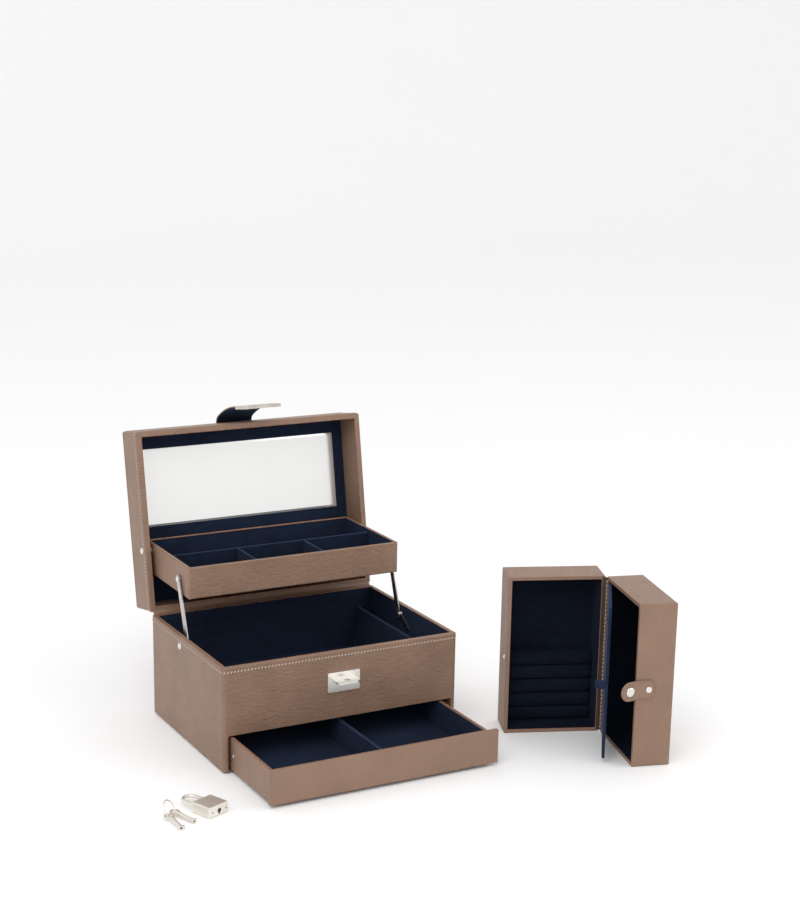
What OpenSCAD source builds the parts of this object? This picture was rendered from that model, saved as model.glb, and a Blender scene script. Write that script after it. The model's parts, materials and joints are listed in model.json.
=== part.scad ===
/* [Case] */
// Outside width of the case
case_w = 260; // [250:1:290]
// Outside depth of the case
case_d = 190; // [186:1:210]
// Height of the base from the table to its rim
base_h = 109; // [106:1:116]
// Height of the lid from its rim to its top
lid_h = 45; // [43:1:52]
// Thickness of a leather-covered board
board = 4.5; // [4:0.5:5]
// Thickness of the suede lining
lining = 1; // [0.8:0.1:1.2]
// Angle of the open lid
lid_open = 100; // [95:1:105]

/* [Drawer] */
// Height of the drawer front
drawer_front_h = 34.7; // [33:0.1:35]
// How far the drawer stands out
drawer_pull = 97; // [60:1:105]
// Length of the drawer box behind its front
drawer_l = 171; // [160:1:173]

/* [Tray] */
// Width of the lift-out tray
tray_w = 239; // [236:0.5:239]
// Depth of the tray, front to back
tray_d = 121; // [110:1:122]
// Height of the tray
tray_h = 33; // [28:1:34]

/* [Mirror] */
// Width of the mirror
mirror_w = 225; // [180:1:230]
// Height of the mirror with the lid open
mirror_d = 83; // [70:1:85]

/* [Closing strap] */
// Width of the strap
strap_w = 42; // [38:1:46]
// Width of the lock plate
plate_w = 35.5; // [34:0.5:38]

/* [Travel case] */
// Width of each half
travel_w = 100.9; // [96:0.1:106]
// Length of the travel case, standing upright
travel_l = 169.2; // [160:0.1:172]
// Depth of each half
travel_half = 39.5; // [38:0.5:42]
// Number of ring rolls
ring_rolls_n = 5; // [4:1:5]

/* [Padlock] */
// Width of the padlock body
lock_w = 25; // [23:0.5:28]
// Length of the padlock body
lock_l = 24.5; // [22:0.5:28]
// Thickness of the padlock body
lock_t = 10.8; // [10:0.1:12]

/* [Hidden] */

$fn = 48;
eps = 0.01;
leather = [0.50, 0.39, 0.32];
navy = [0.07, 0.09, 0.15];
nickel = [0.80, 0.79, 0.76];

// Base
pad_t = 1;
wall = board + lining;
bottom_t = 2;
corner_r = 4;
rim_r = 1.2;
half_w = case_w / 2;
half_d = case_d / 2;
opening_z0 = pad_t + bottom_t;
opening_z1 = opening_z0 + drawer_front_h + 1.3;
ceiling_z = opening_z1 + 0.5;
floor_board_t = 4;
floor_z = ceiling_z + floor_board_t + lining;
inner_w = case_w - 2 * wall;
inner_d = case_d - 2 * wall;
side_slot_w = 12.5;
divider_t = 4.5;
divider_h = 43.5;

// Lid and its hinge
hinge_y = half_d + 2;
hinge_z = base_h - 0.5;
rim_gap = 0.4;
lid_z0 = base_h + rim_gap;
lid_z1 = lid_z0 + lid_h;
lid_edge_r = 4;
panel_t = 3;
lid_room_z = lid_z1 - wall;
hinge_x = 80;
hinge_w = 44;
knuckle_r = 1.6;
hinge_pin_r = 0.8;
running_gap = 0.05;
leaf_t = 0.8;
mirror_y = -32.5;
mirror_t = 2.3;
mirror_proud = 0.3;

// Tray linkage: two equal pairs of pivots make a parallelogram
crank_y = 23;
crank_z = 63.5;
tray_front_y = 15.5;
tray_z0 = 146;
tray_rear_pivot = [hinge_y + crank_y, hinge_z + crank_z];
tray_front_pivot = [39, 162];
arm_foot = [tray_front_pivot[0] - crank_y, tray_front_pivot[1] - crank_z];
pivot_r = 2;
rivet_r = 3.5;
rivet_h = 1.2;
arm_t = 1.2;
arm_width = 7.5;
arm_x = tray_w / 2 + 1.3;
arm_len = sqrt(crank_y * crank_y + crank_z * crank_z);
arm_tilt = atan2(crank_z, crank_y);
open_pivot_gap = 0.2;
washer_x = arm_x + arm_t + 0.1;
bracket_t = 1.2;
bracket_x = inner_w / 2 - bracket_t;
bracket_leg = 20;
bracket_angle = 216;
tray_board = 3;

// Closing strap, drawn for the closed lid
strap_y = -half_d + 1.5;
strap_t = 2.6;
strap_skin = 1.6;
strap_z = lid_z1 + strap_t / 2;
strap_r1 = 9;
strap_r2 = 118.4;
strap_turn1 = 66;
strap_turn2 = strap_turn1 + 24.7;
strap_end = [
  strap_r1 * sin(strap_turn1) + strap_r2 * (sin(strap_turn2) - sin(strap_turn1)),
  strap_r1 * (cos(strap_turn1) - 1) + strap_r2 * (cos(strap_turn2) - cos(strap_turn1))
];
hasp_gap = 0.6;
hasp_gap_turn = 0.3;
cap_t = 3.5;
cap_l = 27;
cap_w = strap_w + 1;
plate_t = 1.4;
plate_z0 = 67;
plate_h = 20.5;
staple_z = 78.6;
staple_t = 2.4;
staple_w = 26;
staple_out = 13.6;
slot_w = 28;
slot_h = 6.4;
slot_down = 19.5;

// Drawer
drawer_front_t = 5;
drawer_front_w = inner_w - 1.4;
drawer_z0 = opening_z0 + 0.5;
drawer_x0 = -121.3;
drawer_x1 = 115.3;
drawer_box_w = drawer_x1 - drawer_x0;
drawer_box_z0 = 4.2;
drawer_box_h = 32.4;
drawer_wall = 3.5;
drawer_floor_t = 2.5;
drawer_y = -half_d - drawer_pull;
drawer_box_y = drawer_y + drawer_front_t;
front_screw_z = 21;
slide_gap = 0.3;
guide_h = 13;
guide_l = 140;
guide_y = 10;
glide_w = 8;
glide_l = 160;
side_screw_z = 19.4;
side_screw_y = -half_d - 4;
drawer_divider_t = 4;
drawer_divider_h = 25.8;

// Travel case, in its own frame: spine along z, halves open along -y
travel_place = [269, -157];
travel_turn = -21.7;
travel_open = 95.8;
travel_rim = 0.2;
travel_wall = 3.5;
spine_gap = 0.5;
spine_w = 3.4;
spine_t = 0.7;
roll_pitch = 15.2;
roll_depth = 10.4;
roll_board_t = 2;
flap_open = 18.7;
flap_w = 86.5;
tab_z = 79;
tab_l = 10;
tab_h = 9;
flap_t = 3;
flap_x = spine_gap + travel_wall + lining + 0.9;
snap_z = 81.5;
snap_strap_w = 20;
snap_rivet_y = 13;
snap_root_r = 6;
snap_strap_t = 1.8;
snap_gap = 0.4;
snap_reach = 8;
snap_flare = 20;
snap_root_l = 19;
snap_cap_r = 4.8;

// Padlock and keys
lock_place = [-175.5, -171.3];
lock_turn = 22;
shackle_r = 1.8;
shackle_span = 15;
shackle_leg = 13.5;
plug_r = 4.2;
plug_l = 15;
key_bow_r = 5;
key_hole_r = 3;
key_bow_t = 1.2;
key_barrel_r = 2.1;
key_barrel_l = 22.5;
key_tilt = 2.2;
key_lift = 3.3;
key_hole_gap = 10.8;
ring_r = 8;
ring_wire_r = 0.7;
ring_turn = 41;
ring_lean = 60;

// ---------- shared shapes ----------
// Rectangle with round corners, centred
module rounded_rect(w, d, r) {
  square([w - 2 * r, d], center = true);
  square([w, d - 2 * r], center = true);
  for (sx = [-1, 1], sy = [-1, 1]) translate([sx * (w / 2 - r), sy * (d / 2 - r)]) circle(r);
}

// Upright outline from z = 0 to h, with its own radius at the top and at the bottom
module upright_outline(w, h, r_top, r_bottom) {
  translate([-w / 2, r_bottom]) square([w, h - r_top - r_bottom]);
  translate([-w / 2 + r_top, h - r_top - eps]) square([w - 2 * r_top, r_top + eps]);
  translate([-w / 2 + r_bottom, 0]) square([w - 2 * r_bottom, r_bottom + eps]);
  for (s = [-1, 1]) {
    translate([s * (w / 2 - r_top), h - r_top]) circle(r_top);
    translate([s * (w / 2 - r_bottom), r_bottom]) circle(r_bottom);
  }
}

// Block standing on z = 0 with round edges all over
module soft_box(w, d, h, r_side, r_top, r_bottom) {
  intersection() {
    linear_extrude(h) rounded_rect(w, d, r_side);
    translate([0, d / 2, 0]) rotate([90, 0, 0]) linear_extrude(d) upright_outline(w, h, r_top, r_bottom);
    translate([-w / 2, 0, 0]) rotate([90, 0, 90]) linear_extrude(w) upright_outline(d, h, r_top, r_bottom);
  }
}

// Upright board standing on z = 0, centred, t thick and l long along y, with a round top edge
module ridge(t, l, h, r) {
  translate([0, l / 2, 0]) rotate([90, 0, 0]) linear_extrude(l) {
    translate([-t / 2, 0]) square([t, h - r]);
    translate([-t / 2 + r, h - r - eps]) square([t - 2 * r, r + eps]);
    for (s = [-1, 1]) translate([s * (t / 2 - r), h - r]) circle(r);
  }
}

// Box centred on x and y, from z0 to z1
module block(w, d, z0, z1) {
  translate([-w / 2, -d / 2, z0]) cube([w, d, z1 - z0]);
}

// Cylinder along x from x0 to x1, at a point [y, z]
module rod_x(x0, x1, at, r) {
  translate([x0, at[0], at[1]]) rotate([0, 90, 0]) cylinder(h = x1 - x0, r = r);
}

// Low domed rivet head on a face at x0, pointing along +x
module rivet_head(x0, at, r, h) {
  translate([x0, at[0], at[1]]) rotate([0, 90, 0]) {
    cylinder(h = h * 0.45, r = r);
    translate([0, 0, h * 0.45]) cylinder(h = h * 0.55, r1 = r, r2 = r * 0.62);
  }
}

// The same thing on both sides of the case
module both_sides() {
  children();
  mirror([1, 0, 0]) children();
}

// From the closed lid's place to the open lid's place
module in_lid() {
  translate([0, hinge_y, hinge_z]) rotate([-lid_open, 0, 0]) translate([0, -hinge_y, -hinge_z]) children();
}

// Point [y, z] of the open lid, seen with the lid closed
function closed_point(p) = [
  hinge_y + (p[0] - hinge_y) * cos(lid_open) - (p[1] - hinge_z) * sin(lid_open),
  hinge_z + (p[0] - hinge_y) * sin(lid_open) + (p[1] - hinge_z) * cos(lid_open)
];

// ---------- base ----------
module base_shell() {
  color(leather) difference() {
    translate([0, 0, pad_t]) soft_box(case_w, case_d, base_h - pad_t, corner_r, rim_r, 2.5);
    block(case_w - 2 * board, case_d - 2 * board, ceiling_z, base_h + 1);
    translate([-inner_w / 2, -half_d + board, opening_z0])
      cube([inner_w, case_d - board - wall, ceiling_z - opening_z0 + eps]);
    translate([-inner_w / 2, -half_d - 1, opening_z0]) cube([inner_w, board + 2, opening_z1 - opening_z0]);
    both_sides() rod_x(half_w - wall - 1, half_w + 1, arm_foot, pivot_r);
    both_sides() rod_x(half_w - wall - 1, half_w - 2, bracket_foot(), 1.2);
    for (s = [-1, 1]) translate([s * 13, -half_d - 1, 77]) rotate([-90, 0, 0]) cylinder(h = wall + 1, r = 1.2);
  }
}

module underside_pad() {
  color("dimgray") linear_extrude(pad_t) rounded_rect(case_w - 8, case_d - 8, 3);
}

module compartment_floor() {
  color("tan") block(case_w - 2 * board, case_d - 2 * board, ceiling_z, ceiling_z + floor_board_t);
}

module floor_pad() {
  color(navy) block(case_w - 2 * board, case_d - 2 * board, ceiling_z + floor_board_t, floor_z);
}

module base_lining() {
  color(navy) difference() {
    block(case_w - 2 * board, case_d - 2 * board, floor_z, base_h - 0.6);
    block(inner_w, inner_d, floor_z - 1, base_h);
    both_sides() rod_x(inner_w / 2 - 1, half_w, arm_foot, pivot_r);
    both_sides() rod_x(inner_w / 2 - 1, half_w, bracket_foot(), 1.2);
  }
}

module side_divider() {
  color(navy) translate([inner_w / 2 - side_slot_w - divider_t / 2, 0, floor_z])
    ridge(divider_t, inner_d, divider_h, 1.5);
}

module lock_plate() {
  color(nickel) translate([0, -half_d, plate_z0 + plate_h / 2]) rotate([90, 0, 0])
    linear_extrude(plate_t) rounded_rect(plate_w, plate_h, 1);
}

module lock_staple() {
  reach = staple_out - 5;
  color(nickel) translate([0, -half_d - plate_t, staple_z]) difference() {
    linear_extrude(staple_t) {
      translate([-staple_w / 2, -reach]) square([staple_w, reach]);
      translate([-staple_w / 2 + 5, -staple_out]) square([staple_w - 10, staple_out]);
      for (s = [-1, 1]) translate([s * (staple_w / 2 - 5), -reach]) circle(5);
    }
    translate([0, -staple_out / 2 - 0.6, -1]) cylinder(h = staple_t + 2, r = 3.2);
  }
}

module lock_pins() {
  color(nickel) for (s = [-1, 1])
    translate([s * 13, -half_d, 77]) rotate([-90, 0, 0]) cylinder(h = board, r = 1.2);
}

// ---------- lid hinge ----------
knuckle_gap = 0.4;
mid_knuckle = 15.2;
side_knuckle = (hinge_w - mid_knuckle) / 2 - knuckle_gap;

// One knuckle with its bore, along x from x0
module knuckle(x0, l) {
  difference() {
    rod_x(x0, x0 + l, [hinge_y, hinge_z], knuckle_r);
    rod_x(x0 - 1, x0 + l + 1, [hinge_y, hinge_z], hinge_pin_r + running_gap);
  }
}

// Web from the leaf to the knuckle, along x from x0, kept clear of the bore
module knuckle_web(x0, l, z0, z1) {
  difference() {
    translate([x0, half_d + 0.3, z0]) cube([l, leaf_t, z1 - z0]);
    rod_x(x0 - 1, x0 + l + 1, [hinge_y, hinge_z], hinge_pin_r + running_gap);
  }
}

module hinge_base_leaves() {
  color(nickel) for (s = [-1, 1]) translate([s * hinge_x, 0, 0]) {
    translate([-hinge_w / 2, half_d, hinge_z - 12.5]) cube([hinge_w, leaf_t, 9.5]);
    for (x0 = [-hinge_w / 2, hinge_w / 2 - side_knuckle]) {
      knuckle(x0, side_knuckle);
      knuckle_web(x0, side_knuckle, hinge_z - 4, hinge_z);
    }
  }
}

module hinge_lid_leaves() {
  color(nickel) in_lid() for (s = [-1, 1]) translate([s * hinge_x, 0, 0]) {
    translate([-hinge_w / 2, half_d, hinge_z + 3]) cube([hinge_w, leaf_t, 9.5]);
    knuckle(-mid_knuckle / 2, mid_knuckle);
    knuckle_web(-mid_knuckle / 2, mid_knuckle, hinge_z, hinge_z + 4);
  }
}

module hinge_pins() {
  color(nickel) for (s = [-1, 1])
    rod_x(s * hinge_x - hinge_w / 2, s * hinge_x + hinge_w / 2, [hinge_y, hinge_z], hinge_pin_r);
}

// ---------- tray arms on the base ----------
function bracket_foot() = [
  arm_foot[0] + bracket_leg * cos(bracket_angle),
  arm_foot[1] + bracket_leg * sin(bracket_angle)
];

// Flat strip in the y-z plane with round ends, from a point along an angle
module flat_strip(x0, t, from, angle, l, w, r0, r1) {
  translate([x0, from[0], from[1]]) rotate([90, 0, 90]) linear_extrude(t) rotate(angle) {
    translate([0, -w / 2]) square([l, w]);
    circle(r0);
    translate([l, 0]) circle(r1);
  }
}

module arm_brackets() {
  color(nickel) both_sides() difference() {
    flat_strip(bracket_x, bracket_t, arm_foot, bracket_angle, bracket_leg, 4.5, 4.5, 2.25);
    rod_x(bracket_x - 1, half_w, arm_foot, pivot_r);
    rod_x(bracket_x - 1, half_w, bracket_foot(), 1.2);
  }
}

module arm_bracket_tacks() {
  color(nickel) both_sides() rod_x(bracket_x, half_w - 2, bracket_foot(), 1.2);
}

module arm_pivot_rivets() {
  color(nickel) both_sides() {
    rod_x(arm_x - 0.1, half_w, arm_foot, pivot_r);
    rivet_head(half_w, arm_foot, rivet_r, rivet_h);
    rod_x(tray_w / 2 + 0.4, arm_x - 0.1, arm_foot, 3.2);
    rod_x(washer_x, bracket_x, arm_foot, 3.2);
  }
}

// ---------- drawer guides in the case ----------
module drawer_guides() {
  left = drawer_x0 - slide_gap;
  right = drawer_x1 + slide_gap;
  color("tan") {
    translate([-inner_w / 2, -guide_l / 2 + guide_y, opening_z0]) cube([left + inner_w / 2, guide_l, guide_h]);
    translate([right, -guide_l / 2 + guide_y, opening_z0]) cube([inner_w / 2 - right, guide_l, guide_h]);
  }
}

// ---------- lid ----------
module lid_shell() {
  color(leather) in_lid() difference() {
    translate([0, 0, lid_z0]) soft_box(case_w, case_d, lid_h, corner_r, lid_edge_r, rim_r);
    block(inner_w, inner_d, lid_z0 - 1, lid_room_z);
    both_sides() rod_x(half_w - wall - 1, half_w + 1, closed_point(tray_rear_pivot), pivot_r);
  }
}

module lid_lining_panel() {
  color(navy) in_lid() difference() {
    block(inner_w, inner_d, lid_room_z - panel_t, lid_room_z);
    translate([0, mirror_y, 0]) block(mirror_w, mirror_d, lid_room_z - panel_t - 1, lid_room_z + 1);
  }
}

module mirror_backing() {
  color("gray") in_lid() translate([0, mirror_y, 0])
    block(mirror_w, mirror_d, lid_room_z - panel_t - mirror_proud + mirror_t, lid_room_z);
}

module mirror_glass() {
  color("white") in_lid() translate([0, mirror_y, 0])
    block(mirror_w, mirror_d, lid_room_z - panel_t - mirror_proud, lid_room_z - panel_t - mirror_proud + mirror_t);
}

module tray_pivot_pins() {
  color(nickel) both_sides() {
    rod_x(tray_w / 2 - tray_board + 0.1, half_w, tray_rear_pivot, pivot_r);
    rivet_head(half_w, tray_rear_pivot, rivet_r, rivet_h);
    rod_x(tray_w / 2 + 0.3, inner_w / 2, tray_rear_pivot, 3.4);
  }
}

module strap_anchor() {
  color(leather) in_lid() {
    translate([-strap_w / 2, strap_y + 1.2, lid_z1]) cube([strap_w, 24, strap_t]);
    translate([0, strap_y + 25.2, lid_z1]) intersection() {
      cylinder(h = strap_t, r = strap_w / 2);
      translate([-strap_w / 2, 0, 0]) cube([strap_w, strap_w, strap_t]);
    }
  }
}

// Part of a ring between two turns, counted from straight up towards the front
module arc_band(r_in, r_out, turn0, turn1) {
  reach = 1.6 * r_out;
  intersection() {
    difference() {
      circle(r_out, $fn = 360);
      circle(r_in, $fn = 360);
    }
    polygon([[0, 0], reach * [sin(turn0), cos(turn0)], reach * [sin(turn1), cos(turn1)]]);
  }
}

// Side view of the strap between two offsets from its middle: a tight bend, then a gentle one
module strap_profile(t0, t1) {
  step = strap_r2 - strap_r1;
  translate([0, -strap_r1]) {
    arc_band(strap_r1 + t0, strap_r1 + t1, 0, strap_turn1);
    translate(-step * [sin(strap_turn1), cos(strap_turn1)])
      arc_band(strap_r2 + t0, strap_r2 + t1, strap_turn1 - 0.05, strap_turn2 - hasp_gap_turn);
  }
}

// Puts a side view (forward, up) into the strap's place, w wide
module strap_place(w) {
  in_lid() translate([-w / 2, strap_y, strap_z]) rotate([90, 0, 90]) linear_extrude(w)
    mirror([1, 0]) children();
}

module strap_leather() {
  color(leather) strap_place(strap_w)
    strap_profile(strap_t / 2 - strap_skin, strap_t / 2);
}

module strap_lining() {
  color(navy) strap_place(strap_w)
    strap_profile(-strap_t / 2, strap_t / 2 - strap_skin);
}

module hasp_cap() {
  color(nickel) in_lid() translate([0, strap_y - strap_end[0], strap_z + strap_end[1]])
    translate([0, cap_t / 2, -hasp_gap]) rotate([90, 0, 0])
    linear_extrude(cap_t) translate([0, -cap_l / 2]) difference() {
      rounded_rect(cap_w, cap_l, 3);
      translate([0, cap_l / 2 + hasp_gap - slot_down]) square([slot_w, slot_h], center = true);
    }
}

// ---------- tray ----------
tray_mid_y = tray_front_y + tray_d / 2;
tray_room_w = tray_w - 2 * tray_board - 2 * lining;
tray_room_d = tray_d - 2 * tray_board - 2 * lining;
tray_floor_z = tray_z0 + tray_board + lining;
tray_long_y = tray_front_y + tray_board + lining + 57.5;
tray_divider_t = 3;
tray_divider_h = 25.5;

module tray_shell() {
  color(leather) difference() {
    translate([0, tray_mid_y, tray_z0]) soft_box(tray_w, tray_d, tray_h, 2.5, 1, 1.5);
    translate([0, tray_mid_y, 0])
      block(tray_w - 2 * tray_board, tray_d - 2 * tray_board, tray_z0 + tray_board, tray_z0 + tray_h + 1);
    both_sides() rod_x(tray_w / 2 - tray_board - 1, tray_w / 2 + 1, tray_rear_pivot, pivot_r + running_gap);
    both_sides() rod_x(tray_w / 2 - tray_board - 1, tray_w / 2 + 1, tray_front_pivot, pivot_r);
  }
}

module tray_lining() {
  color(navy) translate([0, tray_mid_y, 0]) difference() {
    block(tray_w - 2 * tray_board, tray_d - 2 * tray_board, tray_z0 + tray_board, tray_z0 + tray_h - 0.6);
    block(tray_room_w, tray_room_d, tray_floor_z, tray_z0 + tray_h + 1);
  }
}

module tray_long_divider() {
  color(navy) translate([0, tray_long_y + tray_divider_t / 2, tray_floor_z]) rotate([0, 0, 90])
    ridge(tray_divider_t, tray_room_w, tray_divider_h, 1);
}

module tray_cross_dividers() {
  front = tray_front_y + tray_board + lining;
  color(navy) for (s = [-1, 1])
    translate([s * tray_room_w / 6, (front + tray_long_y) / 2, tray_floor_z])
      ridge(tray_divider_t, tray_long_y - front, tray_divider_h - 0.5, 1);
}

module tray_arm_rivets() {
  color(nickel) both_sides() {
    rod_x(tray_w / 2 - tray_board, washer_x, tray_front_pivot, pivot_r);
    rivet_head(washer_x, tray_front_pivot, rivet_r, rivet_h);
  }
}

module tray_arm() {
  color(nickel) difference() {
    flat_strip(arm_x, arm_t, arm_foot, arm_tilt, arm_len, arm_width, 4.4, 4.4);
    rod_x(arm_x - 1, arm_x + 3, arm_foot, pivot_r + running_gap);
    rod_x(arm_x - 1, arm_x + 3, tray_front_pivot, pivot_r + open_pivot_gap);
  }
}

module arm_right() {
  tray_arm();
}

module arm_left() {
  mirror([1, 0, 0]) tray_arm();
}

// ---------- drawer ----------
drawer_room_w = drawer_box_w - 2 * drawer_wall - 2 * lining;
drawer_front_wall = 2.5;
drawer_room_y0 = drawer_box_y + drawer_front_wall + lining;
drawer_room_y1 = drawer_box_y + drawer_l - drawer_wall - lining;
drawer_floor_z = drawer_box_z0 + drawer_floor_t + lining;
front_screw_x = [-80, 0, 80];

module drawer_front() {
  color(leather) difference() {
    translate([0, drawer_y + drawer_front_t / 2, drawer_z0])
      soft_box(drawer_front_w, drawer_front_t, drawer_front_h, 1, 1, 1);
    for (x = front_screw_x) translate([x, drawer_y + 1.5, front_screw_z]) rotate([-90, 0, 0])
      cylinder(h = drawer_front_t, r = 1.4);
  }
}

module drawer_box() {
  color(leather) difference() {
    translate([drawer_x0, drawer_box_y, drawer_box_z0]) cube([drawer_box_w, drawer_l, drawer_box_h]);
    translate([drawer_x0 + drawer_wall, drawer_box_y + drawer_front_wall, drawer_box_z0 + drawer_floor_t])
      cube([drawer_box_w - 2 * drawer_wall, drawer_l - drawer_wall - drawer_front_wall, drawer_box_h]);
    for (x = front_screw_x) translate([x, drawer_box_y - 1, front_screw_z]) rotate([-90, 0, 0])
      cylinder(h = drawer_front_wall + 2, r = 1.4);
    for (x = [drawer_x0, drawer_x1])
      rod_x(x - drawer_wall - 1, x + drawer_wall + 1, [side_screw_y, side_screw_z], 1.2);
  }
}

module drawer_front_screws() {
  color(nickel) for (x = front_screw_x) translate([x, drawer_y + 1.5, front_screw_z]) rotate([-90, 0, 0])
    cylinder(h = drawer_front_t - 1.5 + drawer_front_wall, r = 1.4);
}

module drawer_lining() {
  color(navy) difference() {
    translate([drawer_x0 + drawer_wall, drawer_box_y + drawer_front_wall, drawer_box_z0 + drawer_floor_t])
      cube([
        drawer_box_w - 2 * drawer_wall,
        drawer_l - drawer_wall - drawer_front_wall,
        drawer_box_h - drawer_floor_t - 0.6
      ]);
    translate([drawer_x0 + drawer_wall + lining, drawer_room_y0, drawer_floor_z])
      cube([drawer_room_w, drawer_room_y1 - drawer_room_y0, drawer_box_h]);
  }
}

module drawer_divider() {
  color(navy) translate([0, (drawer_room_y0 + drawer_room_y1) / 2, drawer_floor_z])
    ridge(drawer_divider_t, drawer_room_y1 - drawer_room_y0, drawer_divider_h, 1.3);
}

module drawer_glides() {
  z0 = opening_z0 + slide_gap;
  color("tan") for (x = [drawer_x0 + 12, drawer_x1 - 12])
    translate([x - glide_w / 2, drawer_box_y + 3, z0]) cube([glide_w, glide_l, drawer_box_z0 - z0]);
}

module drawer_side_screws() {
  at = [side_screw_y, side_screw_z];
  color(nickel) {
    rod_x(drawer_x1 - drawer_wall, drawer_x1, at, 1.2);
    rivet_head(drawer_x1, at, 2, 0.9);
    mirror([1, 0, 0]) {
      rod_x(-drawer_x0 - drawer_wall, -drawer_x0, at, 1.2);
      rivet_head(-drawer_x0, at, 2, 0.9);
    }
  }
}

// ---------- travel case ----------
travel_room_w = travel_w - 2 * travel_wall - 2 * lining;
travel_room_l = travel_l - 2 * travel_wall - 2 * lining;
travel_mid_x = spine_gap + travel_w / 2;
travel_back_y = travel_rim + travel_half;

// Left half's frame; dir = -1 draws on the left of the spine, +1 on the right
module in_travel(dir) {
  translate([travel_place[0], travel_place[1], 0])
    rotate([0, 0, travel_turn - (dir > 0 ? 180 - travel_open : 0)]) children();
}

// Open box of board lying with its mouth along -y
module half_box(dir, w, l, depth, y0, r) {
  translate([dir * travel_mid_x, y0, travel_l / 2]) rotate([-90, 0, 0]) soft_box(w, l, depth, r, r, 0.6);
}

// Straight-sided room for the half box, from y0 to y1
module half_room(dir, w, l, y0, y1) {
  translate([dir * travel_mid_x - w / 2, y0, (travel_l - l) / 2]) cube([w, y1 - y0, l]);
}

module travel_shell(dir) {
  outer = travel_wall * 2;
  color(leather) in_travel(dir) difference() {
    half_box(dir, travel_w, travel_l, travel_half, travel_rim, 2.2);
    half_room(dir, travel_w - outer, travel_l - outer, travel_rim - 1, travel_back_y - travel_wall);
    translate([dir > 0 ? 0 : -spine_gap - spine_w, -1, -1])
      cube([spine_gap + spine_w, 1 + travel_rim + spine_t, travel_l + 2]);
    if (dir < 0) translate([-2 * travel_w, snap_reach, snap_z]) rotate([0, 90, 0])
      cylinder(h = 1.6 * travel_w, r = 1.3);
    if (dir > 0) translate([travel_w / 2, snap_rivet_y, snap_z]) rotate([0, 90, 0]) cylinder(h = travel_w, r = 1.5);
  }
}

module travel_shell_left() {
  travel_shell(-1);
}

module travel_shell_right() {
  travel_shell(1);
}

module travel_lining(dir) {
  y1 = travel_back_y - travel_wall;
  color(navy) in_travel(dir) difference() {
    half_room(dir, travel_room_w + 2 * lining, travel_room_l + 2 * lining, travel_rim + 1, y1);
    half_room(dir, travel_room_w, travel_room_l, travel_rim - 1, y1 - lining);
  }
}

module travel_lining_left() {
  travel_lining(-1);
}

module travel_lining_right() {
  travel_lining(1);
}

module travel_spine(dir) {
  color(leather) in_travel(dir) translate([dir > 0 ? spine_gap : -spine_gap - spine_w, travel_rim, 1.5])
    cube([spine_w, spine_t, travel_l - 3]);
}

module travel_spine_left() {
  travel_spine(-1);
}

module travel_spine_right() {
  travel_spine(1);
}

roll_y1 = travel_back_y - travel_wall - lining - roll_board_t;
roll_z0 = travel_wall + lining;

module ring_roll_board() {
  color(navy) in_travel(-1) translate([-travel_mid_x - travel_room_w / 2, roll_y1, roll_z0])
    cube([travel_room_w, roll_board_t, ring_rolls_n * roll_pitch]);
}

module ring_rolls() {
  r = roll_pitch / 2 - 0.2;
  color(navy) in_travel(-1) for (i = [0 : ring_rolls_n - 1])
    translate([-travel_mid_x - travel_room_w / 2 + 0.3, roll_y1, roll_z0 + (i + 0.5) * roll_pitch])
      rotate([90, 0, 90]) linear_extrude(travel_room_w - 0.6) intersection() {
        union() {
          translate([-roll_depth + r, 0]) circle(r);
          translate([-roll_depth + r, -r]) square([roll_depth - r, 2 * r]);
        }
        translate([-roll_depth, -r]) square([roll_depth - 0.05, 2 * r]);
      }
}

module snap_stud() {
  x0 = -spine_gap - travel_w;
  color(nickel) in_travel(-1) {
    translate([x0, snap_reach, snap_z]) rotate([0, 90, 0]) cylinder(h = travel_wall, r = 1.3);
    translate([x0 - 0.6, snap_reach, snap_z]) rotate([0, 90, 0]) cylinder(h = 0.6, r = 2.9);
    translate([x0 - 1.5, snap_reach, snap_z]) rotate([0, 90, 0]) cylinder(h = 0.9, r = 1.7);
  }
}

// Moves the flap from lying in the right half's mouth to its open place
module in_flap() {
  in_travel(1) translate([flap_x, travel_rim + 0.4, 0]) rotate([0, 0, -flap_open])
    translate([-flap_x, -travel_rim - 0.4, 0]) children();
}

module travel_flap() {
  color(navy) in_flap() {
    translate([flap_x, travel_rim + 0.4, roll_z0 + 0.8]) cube([flap_w, flap_t, travel_room_l - 1.6]);
    translate([flap_x + flap_w - 2.2, travel_rim + 0.4 - tab_l, tab_z]) cube([1.2, tab_l + eps, tab_h]);
  }
}

snap_x = spine_gap + travel_w;

module snap_strap_root() {
  half = snap_strap_w / 2;
  end = snap_root_l - snap_root_r;
  color(leather) in_travel(1) difference() {
    translate([snap_x, 0, snap_z]) rotate([0, 90, 0]) linear_extrude(snap_strap_t) {
      translate([-half, 0.6]) square([2 * half, end - 0.6]);
      translate([snap_root_r - half, 0.6]) square([2 * (half - snap_root_r), snap_root_l - 0.6]);
      for (side = [-1, 1]) translate([side * (half - snap_root_r), end]) circle(snap_root_r);
    }
    translate([snap_x - 1, snap_rivet_y, snap_z]) rotate([0, 90, 0]) cylinder(h = 5, r = 1.5);
  }
}

module snap_strap_rivet() {
  color(nickel) in_travel(1) {
    translate([snap_x - travel_wall, snap_rivet_y, snap_z]) rotate([0, 90, 0])
      cylinder(h = travel_wall + snap_strap_t, r = 1.5);
    rivet_head(snap_x + snap_strap_t, [snap_rivet_y, snap_z], 3.1, rivet_h);
  }
}

// Swings the strap's free end from lying flat to its flared place
module in_snap() {
  pivot = [snap_x + snap_gap + snap_strap_t / 2, 0, 0];
  in_travel(1) translate(pivot) rotate([0, 0, snap_flare]) translate(-pivot) children();
}

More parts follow.
